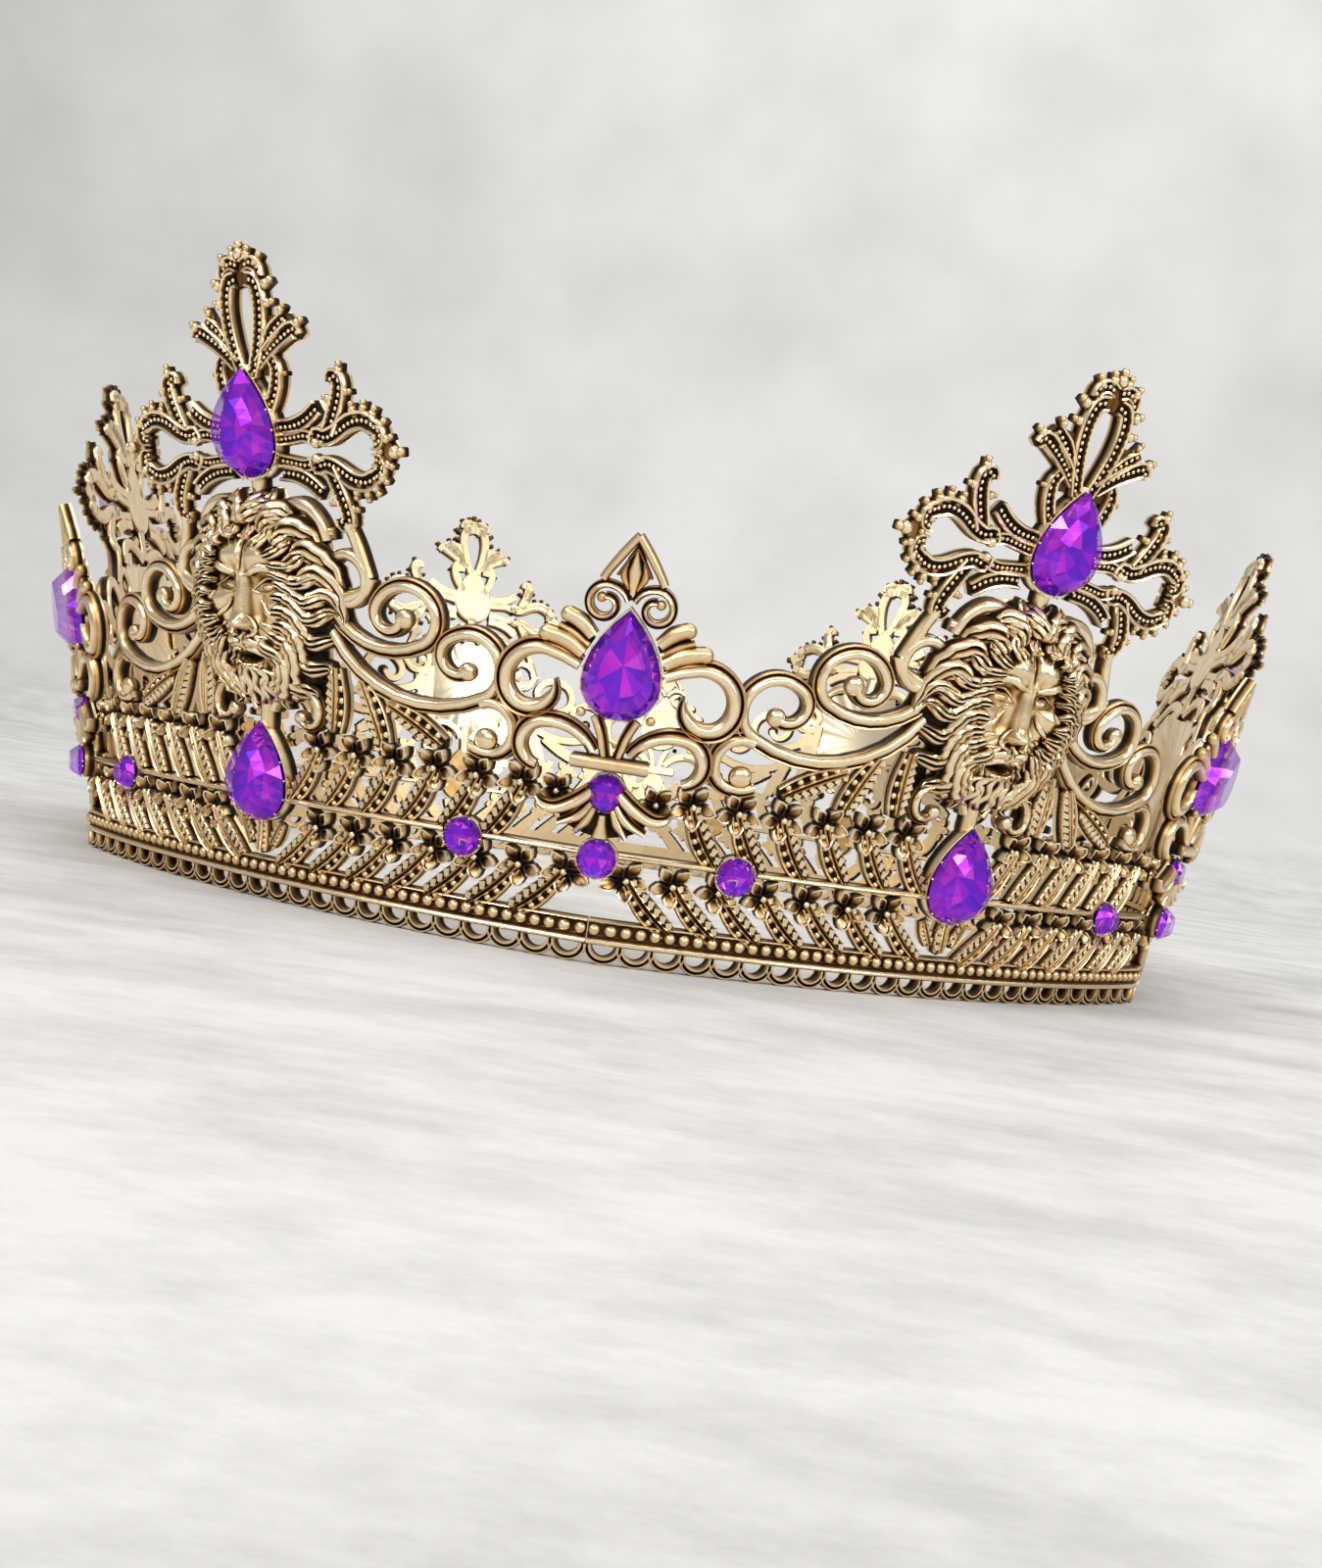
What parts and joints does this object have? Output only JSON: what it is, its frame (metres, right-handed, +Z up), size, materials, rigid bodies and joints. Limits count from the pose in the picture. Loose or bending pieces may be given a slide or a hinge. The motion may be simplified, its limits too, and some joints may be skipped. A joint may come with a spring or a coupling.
{
  "type": "crystal crown",
  "caption": "Round open crown of pierced antique gold castings with lion masks, lace crosses, fleurs-de-lis and violet faceted stones.",
  "frame": {"origin": "centre of the rim on the surface that the crown stands on", "axes": "+Z up, -Y towards the front fleur-de-lis, +X towards a panel with a lion mask"},
  "size_m": [0.2198, 0.2114, 0.081],
  "materials": {
    "antique_gold": "antique gold plating, polished high spots over dark patina",
    "violet_crystal": "cut and foil-backed"
  },
  "bodies": {
    "root": {"panel_1": "antique_gold", "panel_2": "antique_gold", "panel_3": "antique_gold", "panel_4": "antique_gold", "panel_5": "antique_gold", "panel_6": "antique_gold", "fleur_1": "antique_gold", "fleur_2": "antique_gold", "fleur_3": "antique_gold", "fleur_4": "antique_gold", "fleur_5": "antique_gold", "fleur_6": "antique_gold", "cross_stone_1": "violet_crystal", "cross_stone_2": "violet_crystal", "cross_stone_3": "violet_crystal", "cross_stone_4": "violet_crystal", "cross_stone_5": "violet_crystal", "cross_stone_6": "violet_crystal", "band_stone_1": "violet_crystal", "band_stone_2": "violet_crystal", "band_stone_3": "violet_crystal", "band_stone_4": "violet_crystal", "band_stone_5": "violet_crystal", "band_stone_6": "violet_crystal", "fleur_stone_1": "violet_crystal", "fleur_stone_2": "violet_crystal", "fleur_stone_3": "violet_crystal", "fleur_stone_4": "violet_crystal", "fleur_stone_5": "violet_crystal", "fleur_stone_6": "violet_crystal", "fleur_round_1": "violet_crystal", "fleur_round_2": "violet_crystal", "fleur_round_3": "violet_crystal", "fleur_round_4": "violet_crystal", "fleur_round_5": "violet_crystal", "fleur_round_6": "violet_crystal", "joint_round_1": "violet_crystal", "joint_round_2": "violet_crystal", "joint_round_3": "violet_crystal", "joint_round_4": "violet_crystal", "joint_round_5": "violet_crystal", "joint_round_6": "violet_crystal", "rail_round_a1": "violet_crystal", "rail_round_a2": "violet_crystal", "rail_round_a3": "violet_crystal", "rail_round_a4": "violet_crystal", "rail_round_a5": "violet_crystal", "rail_round_a6": "violet_crystal", "rail_round_b1": "violet_crystal", "rail_round_b2": "violet_crystal", "rail_round_b3": "violet_crystal", "rail_round_b4": "violet_crystal", "rail_round_b5": "violet_crystal", "rail_round_b6": "violet_crystal"}
  },
  "joints": []
}
